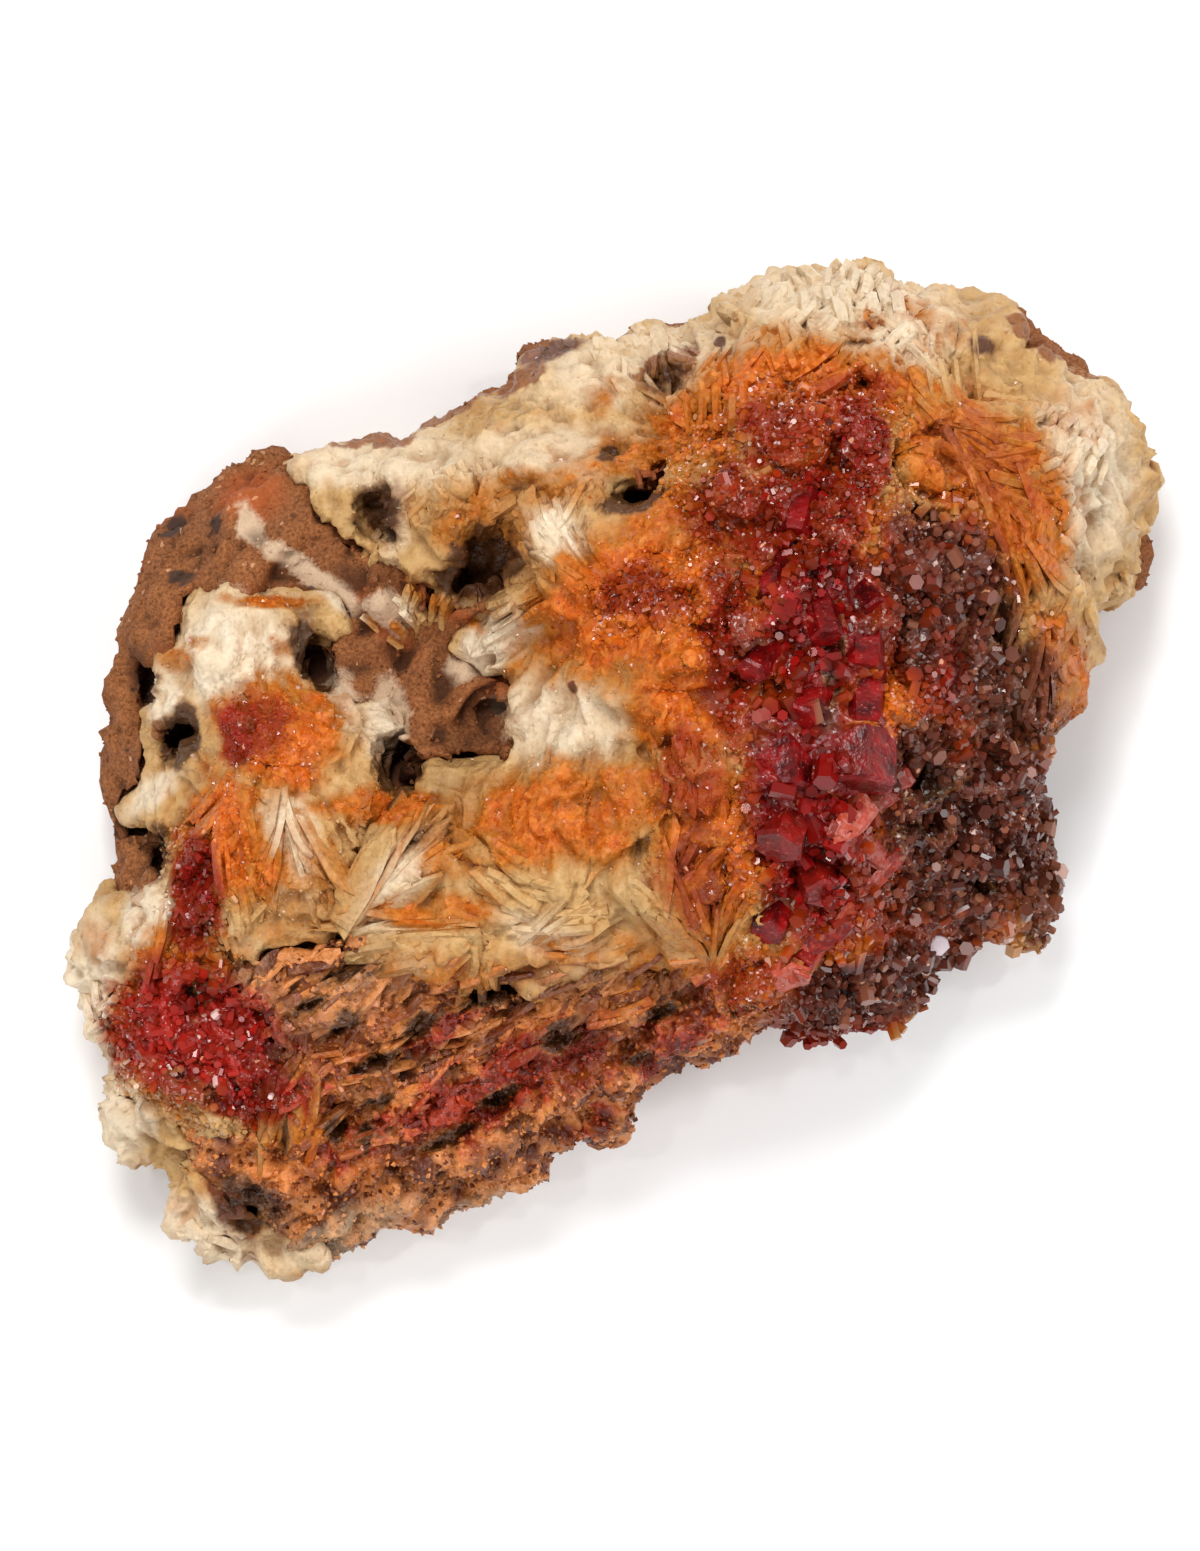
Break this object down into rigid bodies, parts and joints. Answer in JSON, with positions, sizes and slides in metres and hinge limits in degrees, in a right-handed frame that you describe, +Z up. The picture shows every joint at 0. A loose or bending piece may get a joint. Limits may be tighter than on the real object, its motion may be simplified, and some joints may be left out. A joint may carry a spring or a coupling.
{
  "type": "mineral specimen, vanadinite on barite",
  "caption": "Hand-sized mineral specimen: red vanadinite crystals on bladed white and orange barite over brown rock, lying on its flat cut back.",
  "frame": {"origin": "a point of the flat cut back, near the middle of the outline", "axes": "+Z up from the cut back through the crystal face, +X along the specimen's length and +Y across it, as the picture shows it from above"},
  "size_m": [0.0902, 0.0835, 0.0398],
  "materials": {
    "host_rock": "dull brown granular rock, rough",
    "cream_barite": "white to golden bladed barite, satin and slightly translucent",
    "orange_barite": "orange to cream bladed barite with a sugary sparkle",
    "white_barite": "white barite, satin",
    "brown_barite": "orange-brown stepped barite dusted with fine dark crystals",
    "vanadinite": "deep red vanadinite, resinous to adamantine lustre",
    "dark_vanadinite": "dark brown sparkling vanadinite druse"
  },
  "bodies": {
    "root": {"host_rock": "host_rock", "barite_crest": "cream_barite", "barite_centre": "orange_barite", "barite_left": "white_barite", "barite_rim": "white_barite", "barite_ledges": "brown_barite", "vanadinite_band": "vanadinite", "vanadinite_patch": "vanadinite", "dark_druse": "dark_vanadinite"}
  },
  "joints": []
}
